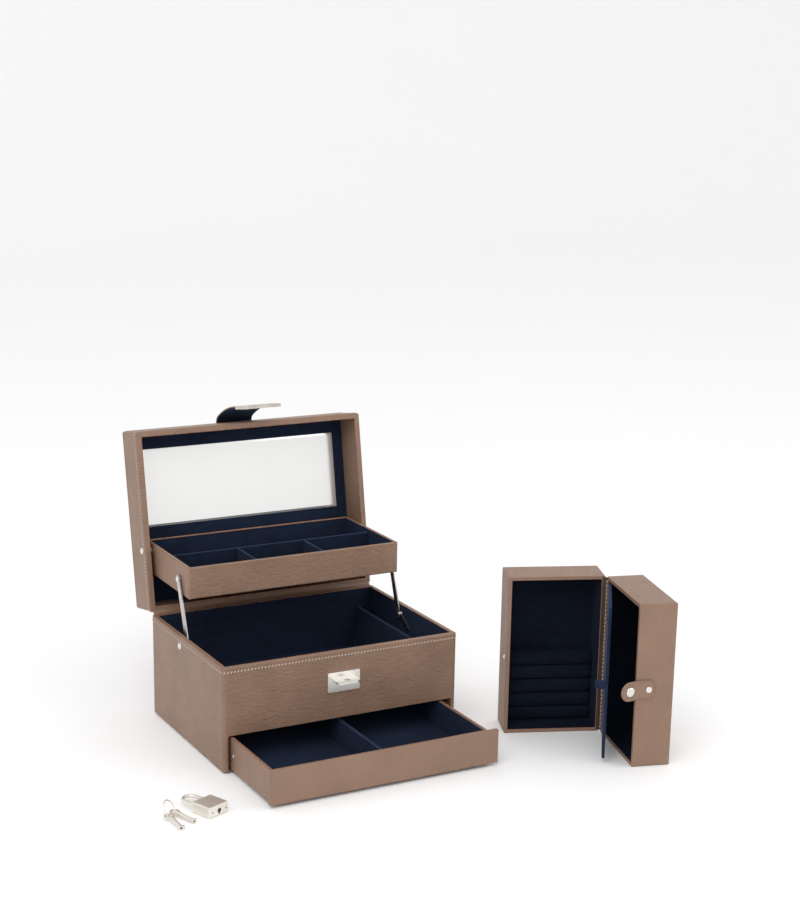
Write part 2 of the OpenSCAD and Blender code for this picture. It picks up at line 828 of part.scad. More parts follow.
module snap_strap() {
  tip = snap_reach + 0.5;
  half = snap_strap_w / 2;
  color(leather) in_snap() difference() {
    translate([snap_x + snap_gap, 0, snap_z]) rotate([0, 90, 0]) linear_extrude(snap_strap_t) {
      translate([-half, -tip]) square([2 * half, tip - 0.9]);
      intersection() {
        translate([0, -tip]) circle(half);
        translate([-half, -tip - half]) square([2 * half, half + tip - 0.9]);
      }
    }
    translate([snap_x, -snap_reach, snap_z]) rotate([0, 90, 0]) cylinder(h = 5, r = 3.6);
  }
}

module snap_cap() {
  x0 = snap_x + snap_gap + snap_strap_t;
  color(nickel) in_snap() translate([x0, -snap_reach, snap_z]) rotate([0, 90, 0]) {
    cylinder(h = 0.8, r = snap_cap_r);
    translate([0, 0, 0.8]) cylinder(h = 1.1, r1 = snap_cap_r, r2 = 0.6 * snap_cap_r);
  }
}

// ---------- padlock ----------
// The padlock lies flat; its own y axis points along the shackle
module in_padlock() {
  translate([lock_place[0], lock_place[1], 0]) rotate([0, 0, lock_turn]) children();
}

module padlock_body() {
  leg_r = shackle_r + running_gap;
  color(nickel) in_padlock() difference() {
    soft_box(lock_w, lock_l, lock_t, 3, 1.6, 1.6);
    for (s = [-1, 1]) translate([s * shackle_span / 2, lock_l / 2 + 1, lock_t / 2]) rotate([90, 0, 0])
      cylinder(h = s > 0 ? 9 : 17, r = leg_r);
    translate([0, -lock_l / 2 - 1, lock_t / 2]) rotate([-90, 0, 0])
      cylinder(h = plug_l + 1, r = plug_r + running_gap);
    for (s = [-1, 1]) translate([s * 8.4, -lock_l / 2 - 1, lock_t / 2]) rotate([-90, 0, 0])
      cylinder(h = 3, r = 0.9);
  }
}

module padlock_plug() {
  color(nickel) in_padlock() translate([0, -lock_l / 2, lock_t / 2]) rotate([-90, 0, 0]) difference() {
    cylinder(h = plug_l - 0.4, r = plug_r);
    translate([0, 0, -1]) cylinder(h = 11, r = 2.35);
    translate([-0.8, 0, -1]) cube([1.6, 3.6, 11]);
  }
}

module padlock_shackle() {
  color(nickel) in_padlock() translate([0, lock_l / 2, lock_t / 2]) {
    for (s = [-1, 1]) translate([s * shackle_span / 2, shackle_leg, 0]) rotate([90, 0, 0])
      cylinder(h = shackle_leg + (s > 0 ? 7 : 15), r = shackle_r);
    translate([0, shackle_leg, 0]) rotate_extrude(angle = 180) translate([shackle_span / 2, 0]) circle(shackle_r);
  }
}

// ---------- keys ----------
key_hole_1 = [-207.4, -163.8];
key_hole_2 = key_hole_1 - key_hole_gap * [cos(ring_turn), sin(ring_turn)];

// Barrel key with the hole of its bow at the origin, pointing along -y
module barrel_key() {
  reach = key_bow_r + key_barrel_l;
  difference() {
    union() {
      translate([0, 0, -key_bow_t / 2]) cylinder(h = key_bow_t, r = key_bow_r);
      translate([0, -key_bow_r + 0.6, 0]) rotate([90, 0, 0]) cylinder(h = key_barrel_l, r = key_barrel_r);
      translate([key_barrel_r - 0.6, -reach + 1.6, -0.7]) cube([2.8, 3, 1.4]);
    }
    translate([0, 0, -5]) cylinder(h = 10, r = key_hole_r);
    translate([0, -reach - 1, 0]) rotate([-90, 0, 0]) cylinder(h = 11, r = 1.1);
  }
}

module key_one() {
  color(nickel) translate([key_hole_1[0], key_hole_1[1], key_lift]) rotate([0, 0, 20])
    rotate([key_tilt, 0, 0]) barrel_key();
}

module key_two() {
  color(nickel) translate([key_hole_2[0], key_hole_2[1], key_lift]) rotate([0, 0, 2.5])
    rotate([key_tilt, 0, 0]) barrel_key();
}

module key_ring() {
  mid = (key_hole_1 + key_hole_2) / 2;
  chord = sqrt(ring_r * ring_r - key_hole_gap * key_hole_gap / 4);
  color(nickel) translate([mid[0], mid[1], key_lift]) rotate([0, 0, ring_turn]) rotate([ring_lean, 0, 0])
    translate([0, chord, 0]) rotate_extrude() translate([ring_r, 0]) circle(ring_wire_r);
}

base_shell();
underside_pad();
compartment_floor();
floor_pad();
base_lining();
side_divider();
lock_plate();
lock_staple();
lock_pins();
hinge_base_leaves();
hinge_lid_leaves();
hinge_pins();
arm_brackets();
arm_bracket_tacks();
arm_pivot_rivets();
drawer_guides();
lid_shell();
lid_lining_panel();
mirror_glass();  // mirror
mirror_backing();
tray_pivot_pins();
strap_anchor();
strap_leather();
strap_lining();
hasp_cap();
tray_shell();
tray_lining();
tray_long_divider();
tray_cross_dividers();
tray_arm_rivets();
arm_left();
arm_right();
drawer_front();
drawer_box();
drawer_lining();
drawer_divider();
drawer_front_screws();
drawer_glides();
drawer_side_screws();
travel_shell_left();
travel_lining_left();
ring_roll_board();
ring_rolls();
snap_stud();
travel_spine_left();
travel_shell_right();
travel_lining_right();
travel_spine_right();
travel_flap();
snap_strap_root();
snap_strap_rivet();
snap_strap();
snap_cap();
padlock_body();
padlock_plug();
padlock_shackle();
key_ring();
key_one();
key_two();
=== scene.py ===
import json
import math

import bmesh
import bpy
from mathutils import Matrix, Vector, noise


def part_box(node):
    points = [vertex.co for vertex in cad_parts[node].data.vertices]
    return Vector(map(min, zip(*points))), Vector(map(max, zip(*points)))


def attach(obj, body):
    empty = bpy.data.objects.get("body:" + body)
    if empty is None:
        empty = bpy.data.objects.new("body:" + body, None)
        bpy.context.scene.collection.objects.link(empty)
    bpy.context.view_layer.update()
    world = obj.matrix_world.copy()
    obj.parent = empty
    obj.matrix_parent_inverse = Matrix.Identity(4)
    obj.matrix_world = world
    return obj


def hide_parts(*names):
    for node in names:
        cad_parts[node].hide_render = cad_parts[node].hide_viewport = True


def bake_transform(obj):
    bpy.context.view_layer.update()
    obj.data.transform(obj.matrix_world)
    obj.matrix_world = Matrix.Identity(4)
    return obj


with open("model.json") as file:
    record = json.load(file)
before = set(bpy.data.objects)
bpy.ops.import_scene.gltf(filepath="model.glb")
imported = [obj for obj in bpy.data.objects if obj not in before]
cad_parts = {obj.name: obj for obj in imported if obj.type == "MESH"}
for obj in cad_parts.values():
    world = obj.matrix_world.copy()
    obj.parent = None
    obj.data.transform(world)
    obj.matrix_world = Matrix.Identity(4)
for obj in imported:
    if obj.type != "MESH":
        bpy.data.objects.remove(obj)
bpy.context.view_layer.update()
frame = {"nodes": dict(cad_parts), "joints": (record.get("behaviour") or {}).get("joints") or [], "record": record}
nodes = frame["nodes"]
joints = {j["name"]: j for j in frame["joints"]}
scene = bpy.context.scene
MM = 0.001
X, Z = Vector((1, 0, 0)), Vector((0, 0, 1))


# ---------------------------------------------------------------- materials
class Graph:
    """A material's node tree, with short calls to add nodes and links."""

    def __init__(self, name):
        self.mat = bpy.data.materials.new(name)
        self.mat.use_nodes = True
        self.tree = self.mat.node_tree
        self.shader = self.tree.nodes["Principled BSDF"]
        self.place = self.add("TexCoord").outputs["Object"]

    def add(self, kind, settings=(), **inputs):
        n = self.tree.nodes.new("ShaderNode" + kind)
        for key, value in dict(settings).items():
            setattr(n, key, value)
        for key, value in inputs.items():
            self.set(n, key.replace("_", " "), value)
        return n

    def set(self, n, key, value):
        """Sets or links an input, named by its label or by i and its number."""
        numbered = key[0] == "i" and key[1:].isdigit()
        socket = n.inputs[int(key[1:])] if numbered else n.inputs[key]
        if isinstance(value, bpy.types.NodeSocket):
            self.tree.links.new(value, socket)
        else:
            socket.default_value = value

    def finish(self, **inputs):
        for key, value in inputs.items():
            self.set(self.shader, key.replace("_", " "), value)
        return self.mat

    def stretch(self, x, y, z):
        return self.add("Mapping", Vector=self.place, Scale=(x, y, z)).outputs["Vector"]

    def noise(self, scale, detail=2.0, rough=0.5, at=None):
        n = self.add("TexNoise", Vector=at or self.place, Scale=scale,
                     Detail=detail, Roughness=rough)
        return n.outputs["Fac"]

    def remap(self, value, a, b, c, d):
        n = self.add("MapRange", Value=value, From_Min=a, From_Max=b, To_Min=c, To_Max=d)
        return n.outputs["Result"]

    def spread(self, fac, c, d):
        """Maps a noise, which lies mostly between 0.3 and 0.7, to the range c to d."""
        return self.remap(fac, 0.3, 0.7, c, d)

    def mix(self, fac, a, b):
        n = self.add("Mix", {"data_type": "RGBA"})
        self.set(n, "i0", fac)
        self.set(n, "i6", a)
        self.set(n, "i7", b)
        return n.outputs[2]

    def bump(self, height, strength, distance, below=None):
        n = self.add("Bump", Height=height, Strength=strength, Distance=distance)
        if below:
            self.set(n, "Normal", below)
        return n.outputs["Normal"]


def rgb(r, g, b):
    return (r, g, b, 1.0)


def times(k, colour):
    return rgb(*[k * c for c in colour])


def leather(name, light, dark, cell, depth, wrinkle):
    """Pebbled leather: the pebbles' size and depth in metres, the folds' bump strength."""
    g = Graph(name)
    wobble = g.add("TexNoise", Vector=g.place, Scale=240.0, Detail=2.0).outputs["Color"]
    shift = g.add("VectorMath", {"operation": "MULTIPLY_ADD"},
                  i0=wobble, i1=(0.0016,) * 3, i2=g.stretch(1, 1, 1.35))
    cells = g.add("TexVoronoi", {"feature": "DISTANCE_TO_EDGE"},
                  Vector=shift.outputs[0], Scale=1 / cell)
    pebble = g.remap(cells.outputs["Distance"], 0.0, 0.22, 0.0, 1.0)
    fine = g.noise(2600.0, 3.0)
    broad = g.noise(22.0, 4.0, 0.55)
    cloud = g.noise(95.0, 3.0, 0.6)
    tone = g.mix(g.remap(broad, 0.35, 0.65, 0.0, 1.0), rgb(*dark), rgb(*light))
    tone = g.mix(g.spread(cloud, 0.0, 0.2), tone, times(0.86, dark))
    # Painted shade: the pebbles' valleys are darkened towards a deep tone.
    crease = g.mix(g.remap(pebble, 0.0, 1.0, 0.34, 0.0), tone, times(0.45, dark))
    rough = g.spread(g.noise(340.0, 3.0), 0.36, 0.50)
    waves = g.add("TexNoise", Vector=g.stretch(0.42, 0.42, 1.0), Scale=330.0, Detail=3.0,
                  Distortion=0.8).outputs["Fac"]
    folds = g.remap(waves, 0.38, 0.62, 0.0, 1.0)
    normal = g.bump(g.noise(38.0, 2.0), 0.25, 0.0012)
    normal = g.bump(folds, wrinkle, 0.0007, normal)
    normal = g.bump(pebble, 0.5, depth, normal)
    normal = g.bump(fine, 0.25, 0.00006, normal)
    g.shader.inputs["Specular IOR Level"].default_value = 0.5
    return g.finish(Base_Color=crease, Roughness=rough, Normal=normal)


def suede(name, light, dark, glow):
    """Brushed suede: glow is the weight of its sheen."""
    g = Graph(name)
    nap = g.noise(9.0, 3.0, 0.6, g.stretch(1.0, 1.6, 1.0))
    brush = g.noise(70.0, 4.0, 0.65, g.stretch(1.0, 1.0, 2.2))
    fibre = g.noise(3200.0, 2.0)
    tone = g.mix(g.remap(nap, 0.35, 0.68, 0.0, 1.0), rgb(*dark), rgb(*light))
    tone = g.mix(g.remap(brush, 0.35, 0.75, 0.0, 0.5), tone, times(1.5, light))
    tone = g.mix(g.spread(fibre, 0.0, 0.4), tone, times(0.6, dark))
    normal = g.bump(brush, 0.2, 0.0005)
    normal = g.bump(fibre, 0.5, 0.00012, normal)
    s = g.shader.inputs
    s["Specular IOR Level"].default_value = 0.1
    s["Sheen Weight"].default_value = glow
    s["Sheen Roughness"].default_value = 0.45
    s["Sheen Tint"].default_value = rgb(0.30, 0.42, 0.75)
    return g.finish(Base_Color=tone, Roughness=g.spread(fibre, 0.85, 1.0), Normal=normal)


def metal(name, light, dark, r0, r1, grain=(1, 1, 1)):
    """Metal with fine scratches: roughness from r0 to r1, scratches drawn out by grain."""
    g = Graph(name)
    cloud = g.noise(60.0, 3.0)
    scratch = g.noise(900.0, 4.0, 0.6, g.stretch(*grain))
    tone = g.mix(g.spread(cloud, 0.0, 1.0), rgb(*light), rgb(*dark))
    normal = g.bump(scratch, 0.08, 0.00003)
    normal = g.bump(g.noise(140.0, 2.0), 0.05, 0.0002, normal)
    g.shader.inputs["Metallic"].default_value = 1.0
    return g.finish(Base_Color=tone, Roughness=g.spread(scratch, r0, r1), Normal=normal)


def plain(name, light, dark, scale, rough, depth):
    """Slightly uneven matt or painted surface."""
    g = Graph(name)
    cloud = g.noise(scale, 4.0, 0.6)
    tone = g.mix(g.spread(cloud, 0.0, 1.0), rgb(*dark), rgb(*light))
    return g.finish(Base_Color=tone, Roughness=g.spread(cloud, rough, rough + 0.15),
                    Normal=g.bump(g.noise(scale * 6, 3.0), 0.4, depth))


TAUPE = leather("taupe_leather", (0.300, 0.181, 0.121), (0.246, 0.147, 0.097),
                0.0016, 0.00026, 0.36)
TAUPE_SMALL = leather("taupe_leather_small", (0.300, 0.181, 0.121), (0.256, 0.153, 0.102),
                      0.0011, 0.00016, 0.12)
# Darkened copy of the small-grain leather for the travel case's spine: painted shade between its two halves.
SPINE_SHADED_LEATHER = leather("spine_leather_painted_shade", (0.085, 0.054, 0.038), (0.058, 0.037, 0.026),
                        0.0011, 0.00016, 0.12)
SUEDE = suede("navy_suede", (0.0128, 0.0205, 0.043), (0.0072, 0.0115, 0.0245), 0.14)
# Lighter copy of the navy suede for the base's and drawer's divider tops: painted highlight where light falls on
# them.
SUEDE_TOP_LIT = suede("navy_suede_top_painted_light", (0.0170, 0.0275, 0.056), (0.0105, 0.0170, 0.0355), 0.16)
# Darker copy of the navy suede for the travel case's linings, ring bolsters and ring board: painted shade inside
# the case.
SUEDE_SHADED = suede("navy_suede_painted_shade", (0.0068, 0.0105, 0.0210), (0.0030, 0.0048, 0.0102), 0.07)
# Lightest copy of the navy suede for the tray's divider tops and the travel flap: painted highlight on lit faces.
SUEDE_LIT = suede("navy_suede_painted_light", (0.0165, 0.0290, 0.0600), (0.0095, 0.0170, 0.0370), 0.18)
NICKEL = metal("polished_nickel", (0.80, 0.78, 0.74), (0.72, 0.70, 0.66), 0.10, 0.2)
NICKEL_WORN = metal("warm_nickel", (0.86, 0.82, 0.75), (0.78, 0.73, 0.66), 0.34, 0.5)
NICKEL_SATIN = metal("satin_nickel", (0.92, 0.90, 0.85), (0.86, 0.84, 0.79), 0.26, 0.4)
NICKEL_HASP = metal("hasp_nickel", (0.72, 0.67, 0.60), (0.52, 0.46, 0.40), 0.16, 0.28)
STEEL = metal("satin_steel", (0.62, 0.60, 0.57), (0.50, 0.48, 0.46), 0.24, 0.4, (1, 1, 0.08))
EDGE = plain("edge_paint", (0.30, 0.145, 0.082), (0.20, 0.096, 0.056), 220.0, 0.22, 0.00004)
THREAD = plain("thread", (0.70, 0.61, 0.51), (0.50, 0.42, 0.34), 1500.0, 0.7, 0.00012)
GROOVE = plain("stitch_groove", (0.15, 0.10, 0.07), (0.10, 0.065, 0.045), 300.0, 0.6, 0.00005)
FELT = plain("felt", (0.035, 0.033, 0.032), (0.02, 0.02, 0.02), 800.0, 0.9, 0.0003)
BOARD = plain("board", (0.42, 0.30, 0.19), (0.30, 0.20, 0.12), 60.0, 0.6, 0.0002)
g = Graph("mirror")
g.shader.inputs["Metallic"].default_value = 0.72
MIRROR = g.finish(Base_Color=g.mix(g.noise(14.0), rgb(0.95, 0.95, 0.94), rgb(0.92, 0.92, 0.91)),
                  Roughness=g.spread(g.noise(30.0, 4.0), 0.10, 0.16))

SLOT_LOOKS = {
    "leather": TAUPE, "suede": SUEDE, "nickel": NICKEL, "steel": STEEL,
    "mirror": MIRROR, "board": BOARD, "felt": FELT, "backing": FELT,
}
for part in frame["record"]["subparts"]:
    mesh = nodes[part["node"]].data
    mesh.materials.clear()
    mesh.materials.append(SLOT_LOOKS[part["material_slot"]])
OWN_LOOKS = (
    (TAUPE_SMALL, ("snap_strap", "snap_strap_root", "strap_leather", "strap_anchor",
                   "travel_shell_left", "travel_shell_right", "drawer_front", "drawer_box")),
    (NICKEL_SATIN, ("lock_plate", "lock_staple")),
    (NICKEL_HASP, ("hasp_cap",)),
    (NICKEL_WORN, ("padlock_body", "padlock_shackle", "padlock_plug",
                   "key_one", "key_two", "key_ring")),
    # The ring board takes the shaded suede copy: painted shade.
    (SUEDE_SHADED, ("ring_roll_board",)),
)
for look, names in OWN_LOOKS:
    for name in names:
        nodes[name].data.materials[0] = look


# ---------------------------------------------------------------- frames
def turn(degrees, axis):
    return Matrix.Rotation(math.radians(degrees), 4, axis)


def about(pivot, rotation):
    return Matrix.Translation(pivot) @ rotation @ Matrix.Translation(-Vector(pivot))


def upper_limit(joint):
    return joints[joint]["range_deg"][1]


# Each frame puts a piece where the part rests, from the square place it is drawn in
IN_LID = about(joints["lid_hinge"]["pos_m"], turn(-upper_limit("lid_hinge"), "X"))
SPINE = Vector(joints["travel_hinge"]["pos_m"][:2] + [0.0])
TRAVEL_TURN = -21.7
IN_LEFT = Matrix.Translation(SPINE) @ turn(TRAVEL_TURN, "Z")
IN_RIGHT = Matrix.Translation(SPINE) @ turn(TRAVEL_TURN - 180 + upper_limit("travel_hinge"), "Z")


def local_box(node, place=Matrix.Identity(4)):
    """Lowest and highest corner of a CAD node, in a frame of its own."""
    back = place.inverted()
    points = [back @ v.co for v in nodes[node].data.vertices]
    return (Vector([min(p[i] for p in points) for i in range(3)]),
            Vector([max(p[i] for p in points) for i in range(3)]))


def middle(lo, hi):
    return ((lo[0] + hi[0]) / 2, (lo[1] + hi[1]) / 2)


# ---------------------------------------------------------------- mesh tools
def make(name, verts, faces, mat, body, place=None, hides=(), sharp=38, fix=True):
    mesh = bpy.data.meshes.new(name)
    mesh.from_pydata([tuple(v) for v in verts], [], faces)
    if place:
        mesh.transform(place)
    if fix:
        bm = bmesh.new()
        bm.from_mesh(mesh)
        bmesh.ops.recalc_face_normals(bm, faces=bm.faces)
        bm.to_mesh(mesh)
        bm.free()
    mesh.shade_smooth()
    mesh.set_sharp_from_angle(angle=math.radians(sharp))
    mesh.materials.append(mat)
    obj = bpy.data.objects.new(name, mesh)
    scene.collection.objects.link(obj)
    if body:
        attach(obj, body)
    if hides:
        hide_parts(*hides)
    return obj


def join(verts, faces, more_verts, more_faces):
    """Adds one mesh's points and faces to the lists of another."""
    faces += [tuple(i + len(verts) for i in face) for face in more_faces]
    verts += more_verts


def loft(rings, closed=False):
    """Solid through rings of the same number of points, capped or closed on itself."""
    n, count = len(rings[0]), len(rings)
    verts = [p for ring in rings for p in ring]
    faces = []
    for k in range(count if closed else count - 1):
        here, there = k * n, (k + 1) % count * n
        for i in range(n):
            j = (i + 1) % n
            faces.append((here + i, here + j, there + j, there + i))
    if not closed:
        faces.append(tuple(reversed(range(n))))
        faces.append(tuple(range((count - 1) * n, count * n)))
    return verts, faces


def loop(w, d, r, n=6):
    """Rounded rectangle round the origin as (x, y, outward x, outward y)."""
    out = []
    for sx, sy, a0 in ((1, -1, -90), (1, 1, 0), (-1, 1, 90), (-1, -1, 180)):
        for i in range(n + 1):
            a = math.radians(a0 + 90 * i / n)
            c, s = math.cos(a), math.sin(a)
            out.append((sx * (w / 2 - r) + r * c, sy * (d / 2 - r) + r * s, c, s))
    return out


def ring_path(w, d, r, z, mid, n=8):
    """Rounded rectangle at height z as (point, outward normal) pairs."""
    return [((mid[0] + x, mid[1] + y, z), (nx, ny, 0)) for x, y, nx, ny in loop(w, d, r, n)]


def stack(w, d, r, profile, centre, least=0.0004):
    """Rings of a rounded rectangle, each drawn in by an inset and lifted to a height."""
    return [[(centre[0] + x, centre[1] + y, z)
             for x, y, _, _ in loop(w - 2 * inset, d - 2 * inset, max(r - inset, least))]
            for inset, z in profile]


def round_rings(at, axis, profile, sides):
    """Circles of each (radius, height) in the profile, round an axis through a point."""
    axis = Vector(axis).normalized()
    u = axis.orthogonal().normalized()
    v = axis.cross(u)
    spokes = [math.cos(math.tau * k / sides) * u + math.sin(math.tau * k / sides) * v
              for k in range(sides)]
    return [[Vector(at) + axis * z + r * spoke for spoke in spokes] for r, z in profile]


def arc(cx, cy, r, a0, a1, n=5):
    return [(cx + r * math.cos(math.radians(a0 + (a1 - a0) * i / n)),
             cy + r * math.sin(math.radians(a0 + (a1 - a0) * i / n))) for i in range(n + 1)]


def slab(lo, hi, r_side, r_edge):
    """Board with round corners and round edges all over."""
    profile = arc(r_edge, lo[2] + r_edge, r_edge, 270, 180)
    profile += arc(r_edge, hi[2] - r_edge, r_edge, 180, 90)
    return loft(stack(hi[0] - lo[0], hi[1] - lo[1], max(r_side, r_edge), profile, middle(lo, hi)))


def bowl(lo, hi, t, corner, fillet):
    """Thin lining of an open box: its walls, soft corners and floor."""
    floor = lo[2] + t
    profile = [(0.0, lo[2])] + arc(t / 2, hi[2] - t / 2, t / 2, 180, 0, 4)
    profile += [(t, floor + fillet)]
    profile += [(t + fillet - fillet * math.cos(math.radians(a)),
                 floor + fillet - fillet * math.sin(math.radians(a)))
                for a in (18, 36, 54, 72, 90)]
    return loft(stack(hi[0] - lo[0], hi[1] - lo[1], corner + t, profile, middle(lo, hi), corner))


def tube(points, r, closed=True, sides=8):
    """Round bead along a polyline."""
    n = len(points)
    points = [Vector(p) for p in points]
    rings = []
    up = None
    for i, p in enumerate(points):
        a = points[(i - 1) % n] if closed or i else p
        b = points[(i + 1) % n] if closed or i < n - 1 else p
        along = (b - a).normalized()
        if up is None:
            up = along.orthogonal()
        side = along.cross(up).normalized()
        up = side.cross(along).normalized()
        turns = [2 * math.pi * k / sides for k in range(sides)]
        rings.append([p + r * (math.cos(a) * up + math.sin(a) * side) for a in turns])
    return loft(rings, closed)


def stitch_run(path, pitch, length, r, slant, closed):
    """Separate thread stitches along (point, normal) pairs."""
    verts, faces = [], []
    pts = path + path[:1] if closed else path
    total = sum((Vector(b[0]) - Vector(a[0])).length for a, b in zip(pts, pts[1:]))
    count = max(1, round(total / pitch))
    step, reach, k = total / count, 0.5 * total / count, 0
    for a, b in zip(pts, pts[1:]):
        p, q = Vector(a[0]), Vector(b[0])
        span = (q - p).length
        while span > 0 and reach <= span and k < count:
            f = reach / span
            at = p.lerp(q, f)
            n = Vector(a[1]).lerp(Vector(b[1]), f).normalized()
            t = (q - p).normalized()
            t = (Matrix.Rotation(math.radians(slant), 3, n) @ t).normalized()
            s = n.cross(t)
            rings = []
            for u, size in ((-0.5, 0.35), (-0.3, 0.9), (0.0, 1.0), (0.3, 0.9), (0.5, 0.35)):
                lift = 0.35 * r * (1 - (2 * u) ** 2)
                rings.append([at + t * (u * length) + n * lift
                              + r * size * (math.cos(w) * s + 0.8 * math.sin(w) * n)
                              for w in (math.pi * m / 3 for m in range(6))])
            join(verts, faces, *loft(rings))
            reach += step
            k += 1
        reach -= span
    return verts, faces


def dome(at, axis, r, h):
    """Low polished dome: a rivet's or a snap's head."""
    profile = [(r, -0.2 * h), (r, 0.12 * h)]
    profile += [(r * math.cos(math.radians(a)), h * (0.12 + 0.88 * math.sin(math.radians(a))))
                for a in (18, 36, 54, 70, 82)]
    return loft(round_rings(at, axis, profile, 28))


def drill(obj, at, axis, r, reach):
    """Cuts a round hole through a thin piece, reach either way from a point."""
    verts, faces = loft(round_rings(at, axis, [(r, -reach), (r, reach)], 32))
    cutter = make(obj.name + "_cutter", verts, faces, obj.data.materials[0], None)
    hole = obj.modifiers.new("hole", "BOOLEAN")
    hole.operation, hole.object, hole.solver = "DIFFERENCE", cutter, "EXACT"
    graph = bpy.context.evaluated_depsgraph_get()
    cut = bpy.data.meshes.new_from_object(obj.evaluated_get(graph))
    obj.modifiers.remove(hole)
    obj.data = cut
    bpy.data.objects.remove(cutter)


def strip(stations, t0, t1, width_of):
    """Band along (point, normal, across, distance) stations, from t0 to t1 along the normal."""
    rings = []
    mid, half = (t0 + t1) / 2, (t1 - t0) / 2
    for p, n, across, s in stations:
        hw = width_of(s)
        bulge = min(half, hw) * 0.98
        ring = []
        for sx, a0 in ((1, -90), (-1, 90)):
            for i in range(7):
                a = math.radians(a0 + 180 * i / 6)
                out = sx * max(hw - bulge, 0) + bulge * math.cos(a)
                ring.append(Vector(p) + Vector(across) * out
                            + Vector(n) * (mid + half * math.sin(a)))
        rings.append(ring)
    return loft(rings)


# ---------------------------------------------------------------- edges and seams
STITCH_PITCH, STITCH_LENGTH, STITCH_R, STITCH_SLANT = 3.6 * MM, 2.6 * MM, 0.52 * MM, 42
SHELL_R = 4 * MM          # outer corners of base and lid
MOUTH_R = 0.8 * MM        # inner corners at their rims
SEAM_DROP = 4.8 * MM      # rim to stitches


def stitched_edge(name, w, d, z, mid, body, place=None):
    """Stitches in a groove all round a shell, at height z."""
    v, f = stitch_run(ring_path(w + 0.2 * MM, d + 0.2 * MM, SHELL_R, z, mid),
                      STITCH_PITCH, STITCH_LENGTH, STITCH_R, STITCH_SLANT, True)
    make(name, v, f, THREAD, body, place)
    groove = [p for p, _ in ring_path(w - 0.1 * MM, d - 0.1 * MM, SHELL_R, z, mid)]
    v, f = tube(groove, 0.2 * MM)
    make(name + "_groove", v, f, GROOVE, body, place)


def edge_paint(name, w, d, r, z, mid, body, place=None, size=0.7):
    """Painted bead round a rim or a crease, size in mm."""
    v, f = tube([p for p, _ in ring_path(w, d, r, z, mid)], size * MM)
    make(name, v, f, EDGE, body, place)


def rim_cap(name, w, d, r, wide, z, mid, body):
    """Painted cap on a cut rim: a low rounded bead all round."""
    h = 0.55 * MM
    profile = [(0.0, z - 0.4 * h), (0.12 * wide, z + 0.55 * h), (0.35 * wide, z + h),
               (0.65 * wide, z + h), (0.88 * wide, z + 0.55 * h), (wide, z - 0.4 * h)]
    v, f = loft(stack(w, d, r, profile, mid), closed=True)
    make(name, v, f, EDGE, body)


def divider_tops(node, body, along, thick, centres):
    """Lighter suede caps along the tops of upright dividers: a painted highlight where light falls on the tops."""
    look = SUEDE_LIT if body == "tray" else SUEDE_TOP_LIT
    lo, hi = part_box(node)
    end = 1.0 * MM
    for i, c in enumerate(centres):
        if along == "y":
            a, b = (c - thick / 2, lo[1] + end), (c + thick / 2, hi[1] - end)
        else:
            a, b = (lo[0] + end, c - thick / 2), (hi[0] - end, c + thick / 2)
        v, f = slab(a + (hi[2] - 0.9 * MM,), b + (hi[2] + 0.1 * MM,), 0.45 * thick, 0.45 * MM)
        make(node + "_top_%d" % i, v, f, look, body)


# ---------------------------------------------------------------- base
BASE_WALL = 4.5 * MM
LINING_T = 1.0 * MM
lo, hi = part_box("base_shell")
base_mid = middle(lo, hi)
bw, bd = hi[0] - lo[0], hi[1] - lo[1]
stitched_edge("base_stitches", bw, bd, hi[2] - SEAM_DROP, base_mid, "base")
edge_paint("base_edge_paint", bw - 2 * BASE_WALL, bd - 2 * BASE_WALL, MOUTH_R,
           hi[2] - 0.55 * MM, base_mid, "base")

# Leather strip that closes the gap over the lid's hinges, from the base's rim to the lid's rim
HINGE_STRIP_HALF = 127.5 * MM
CREST_MM = ((-3.4, 0.62), (-2.2, 0.8), (-1.2, 1.15), (-0.3, 1.75), (0.4, 2.2), (0.85, 2.9),
            (1.1, 3.8))   # y and z from the hinge's axis
hinge = Vector(joints["lid_hinge"]["pos_m"])
crest = [(hinge[1] + dy * MM, hinge[2] + dz * MM) for dy, dz in CREST_MM]
stations = []
for i, (y, z) in enumerate(crest):
    a, b = crest[max(i - 1, 0)], crest[min(i + 1, len(crest) - 1)]
    t = Vector((0, b[0] - a[0], b[1] - a[1])).normalized()
    stations.append((Vector((0, y, z)), Vector((0, -t[2], t[1])), X, i))
v, f = strip(stations, -0.25 * MM, 0.25 * MM, lambda s: HINGE_STRIP_HALF)
gusset = make("hinge_strip", v, f, TAUPE_SMALL, None, sharp=60)
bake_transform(gusset)

lin_lo, lin_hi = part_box("base_lining")
pad_lo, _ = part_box("floor_pad")
v, f = bowl((lin_lo[0], lin_lo[1], pad_lo[2]), lin_hi, LINING_T, 1.5 * MM, 1.6 * MM)
make("base_suede", v, f, SUEDE, "base", hides=("base_lining", "floor_pad"))

TOP_GAP_MM = 0.2    # how much a top is thinner than its divider
for node, body, along, thick in (("side_divider", "base", "y", 4.5),
                                 ("drawer_divider", "drawer", "y", 4.0),
                                 ("tray_long_divider", "tray", "x", 3.0)):
    centre = middle(*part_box(node))[0 if along == "y" else 1]
    divider_tops(node, body, along, (thick - TOP_GAP_MM) * MM, [centre])
a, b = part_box("tray_cross_dividers")
divider_tops("tray_cross_dividers", "tray", "y", 2.8 * MM, [a[0] + 1.5 * MM, b[0] - 1.5 * MM])

